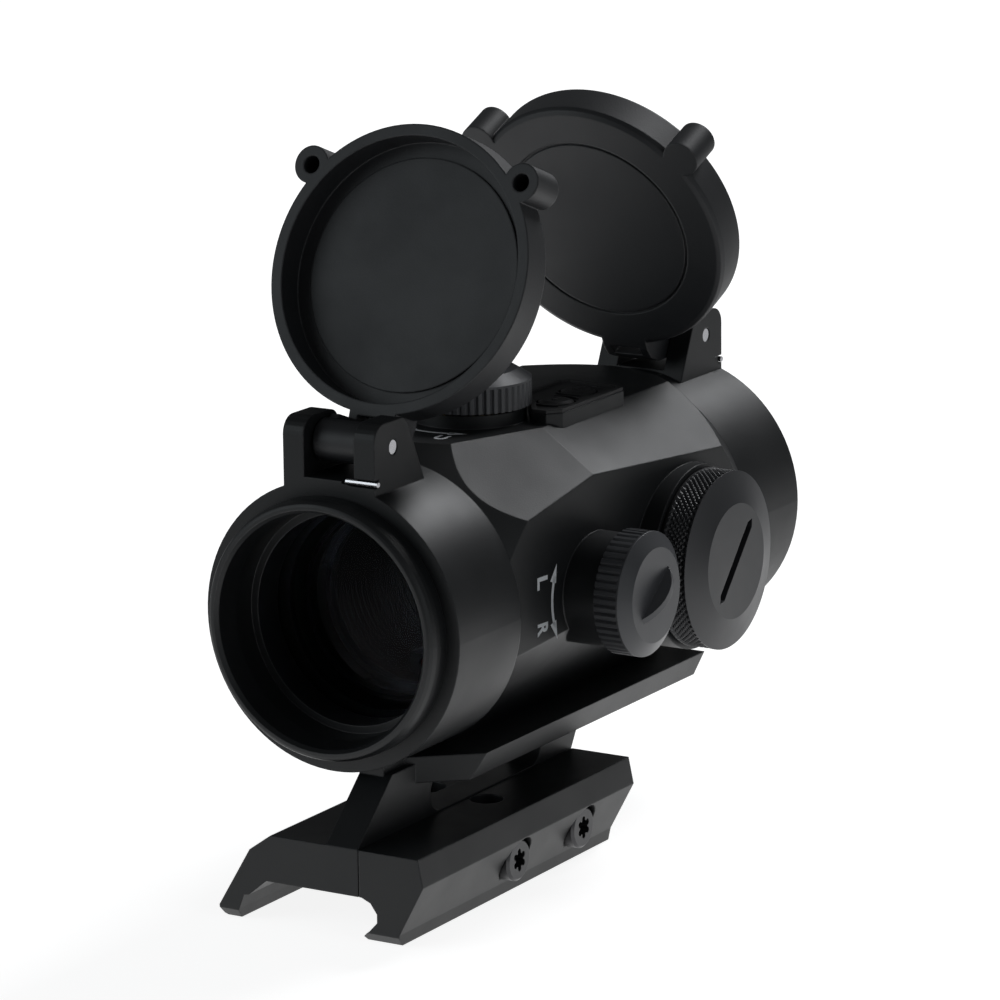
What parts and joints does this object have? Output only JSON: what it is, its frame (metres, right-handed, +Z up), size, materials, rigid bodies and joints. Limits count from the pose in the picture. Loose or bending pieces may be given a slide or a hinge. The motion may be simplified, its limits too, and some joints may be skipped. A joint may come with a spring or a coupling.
{
  "type": "red dot finder",
  "caption": "Tube-type red dot finder with flip-up lens caps, capped windage and elevation turrets, a coin-cell drum and a raised rail mount.",
  "frame": {"origin": "on the optical axis, at the rear end face of the housing, inside the bore of the rear bezel", "axes": "+Y forward along the optical axis, +X towards the windage turret and battery cap, +Z up towards the elevation turret"},
  "size_m": [0.0547, 0.1061, 0.1053],
  "materials": {
    "anodised_black": "satin black anodised aluminium",
    "cap_black": "fine matt black anodised aluminium",
    "matt_black": "matt black, anti-glare",
    "window_glass": "clear coated glass with a blue tint",
    "coated_glass": "partly reflecting glass with an amber tint",
    "steel": "bright steel",
    "brass": "plain brass",
    "rubber": "soft black rubber",
    "red_plastic": "clear red resin",
    "circuit_board": "green laminate",
    "mark_white": "white paint filled into shallow marks"
  },
  "bodies": {
    "sight_body": {"housing": "anodised_black", "ocular_bezel": "anodised_black", "ocular_window": "window_glass", "ocular_retainer": "matt_black", "objective_bezel": "anodised_black", "objective_window": "window_glass", "objective_retainer": "matt_black", "return_spring": "steel", "ocular_hinge_pin": "steel", "ocular_cap_spring": "steel", "objective_hinge_pin": "steel", "objective_cap_spring": "steel", "windage_bushing": "brass", "windage_seal": "rubber", "elevation_bushing": "brass", "elevation_seal": "rubber", "battery_tube": "anodised_black", "battery_contact": "brass", "coin_cell": "steel", "battery_seal": "rubber", "keypad": "rubber", "circuit_board": "circuit_board", "dome_switches": "steel", "riser_mount": "anodised_black", "plate_screws": "steel"},
    "ocular_cover": {"ocular_cap": "cap_black", "ocular_cap_insert": "cap_black"},
    "objective_cover": {"objective_cap": "cap_black", "objective_cap_insert": "cap_black"},
    "windage_cover": {"windage_cap": "anodised_black"},
    "elevation_cover": {"elevation_cap": "anodised_black"},
    "windage_screw": {"windage_dial": "steel"},
    "windage_pusher": {"windage_plunger": "steel"},
    "elevation_screw": {"elevation_dial": "steel"},
    "elevation_pusher": {"elevation_plunger": "steel"},
    "gimbal": {"gimbal_ring": "steel"},
    "optical_tube": {"inner_tube": "matt_black", "eyepiece_lens": "window_glass", "collimator_lens": "coated_glass", "led_holder": "matt_black", "led_emitter": "red_plastic"},
    "battery_cover": {"battery_cap": "anodised_black"},
    "brighter_key": {"brighter_button": "rubber"},
    "dimmer_key": {"dimmer_button": "rubber"},
    "clamp_jaw": {"clamp_bar": "anodised_black"},
    "rear_bolt": {"rear_clamp_screw": "steel"},
    "front_bolt": {"front_clamp_screw": "steel"}
  },
  "joints": [
    {"name": "ocular_cap_flip", "type": "hinge", "parent": "sight_body", "child": "ocular_cover", "pos_m": [0, 0.0047, 0.0245], "axis": [1, 0, 0], "range_deg": [0, 200.6], "stiffness_Nm_per_rad": 0.0015, "springref_deg": -34.38},
    {"name": "objective_cap_flip", "type": "hinge", "parent": "sight_body", "child": "objective_cover", "pos_m": [0, 0.0913, 0.0245], "axis": [-1, 0, 0], "range_deg": [0, 203.5], "stiffness_Nm_per_rad": 0.0015, "springref_deg": -34.38},
    {"name": "windage_cap_turn", "type": "hinge", "parent": "sight_body", "child": "windage_cover", "pos_m": [0.0246, 0.036, 0], "axis": [1, 0, 0], "range_deg": [0, 1080]},
    {"name": "elevation_cap_turn", "type": "hinge", "parent": "sight_body", "child": "elevation_cover", "pos_m": [0, 0.036, 0.024], "axis": [0, 0, 1], "range_deg": [0, 1080]},
    {"name": "windage_turn", "type": "hinge", "parent": "sight_body", "child": "windage_screw", "pos_m": [0.0246, 0.036, 0], "axis": [1, 0, 0], "range_deg": [-289, 289]},
    {"name": "windage_push", "type": "slide", "parent": "sight_body", "child": "windage_pusher", "axis": [1, 0, 0], "range_m": [-0.000401, 0.000401]},
    {"name": "elevation_turn", "type": "hinge", "parent": "sight_body", "child": "elevation_screw", "pos_m": [0, 0.036, 0.024], "axis": [0, 0, 1], "range_deg": [-289, 289]},
    {"name": "elevation_push", "type": "slide", "parent": "sight_body", "child": "elevation_pusher", "axis": [0, 0, 1], "range_m": [-0.000401, 0.000401]},
    {"name": "tube_pitch", "type": "hinge", "parent": "sight_body", "child": "gimbal", "pos_m": [0, 0.076, 0], "axis": [-1, 0, 0], "range_deg": [-0.57, 0.57]},
    {"name": "tube_yaw", "type": "hinge", "parent": "gimbal", "child": "optical_tube", "pos_m": [0, 0.076, 0], "axis": [0, 0, 1], "range_deg": [-0.57, 0.57]},
    {"name": "battery_cap_turn", "type": "hinge", "parent": "sight_body", "child": "battery_cover", "pos_m": [0.0253, 0.0584, 0], "axis": [1, 0, 0], "range_deg": [0, 1080]},
    {"name": "brighter_press", "type": "slide", "parent": "sight_body", "child": "brighter_key", "axis": [0, 0, -1], "range_m": [0, 0.0006], "stiffness_N_per_m": 300, "springref_m": -0.0003},
    {"name": "dimmer_press", "type": "slide", "parent": "sight_body", "child": "dimmer_key", "axis": [0, 0, -1], "range_m": [0, 0.0006], "stiffness_N_per_m": 300, "springref_m": -0.0003},
    {"name": "clamp_open", "type": "slide", "parent": "sight_body", "child": "clamp_jaw", "axis": [1, 0, 0], "range_m": [0, 0.0028]},
    {"name": "rear_screw_turn", "type": "hinge", "parent": "clamp_jaw", "child": "rear_bolt", "pos_m": [0.0146, 0.0202, -0.0354], "axis": [1, 0, 0], "range_deg": [0, 1441]},
    {"name": "front_screw_turn", "type": "hinge", "parent": "clamp_jaw", "child": "front_bolt", "pos_m": [0.0146, 0.0378, -0.0354], "axis": [1, 0, 0], "range_deg": [0, 1441]}
  ],
  "couplings": [
    {"joint": "windage_turn", "follows": "tube_yaw", "ratio": 502.65},
    {"joint": "windage_push", "follows": "tube_yaw", "m_per_rad": 0.04},
    {"joint": "elevation_turn", "follows": "tube_pitch", "ratio": 502.65},
    {"joint": "elevation_push", "follows": "tube_pitch", "m_per_rad": 0.04},
    {"joint": "rear_screw_turn", "follows": "clamp_open", "rad_per_m": 8976},
    {"joint": "front_screw_turn", "follows": "clamp_open", "rad_per_m": 8976}
  ]
}
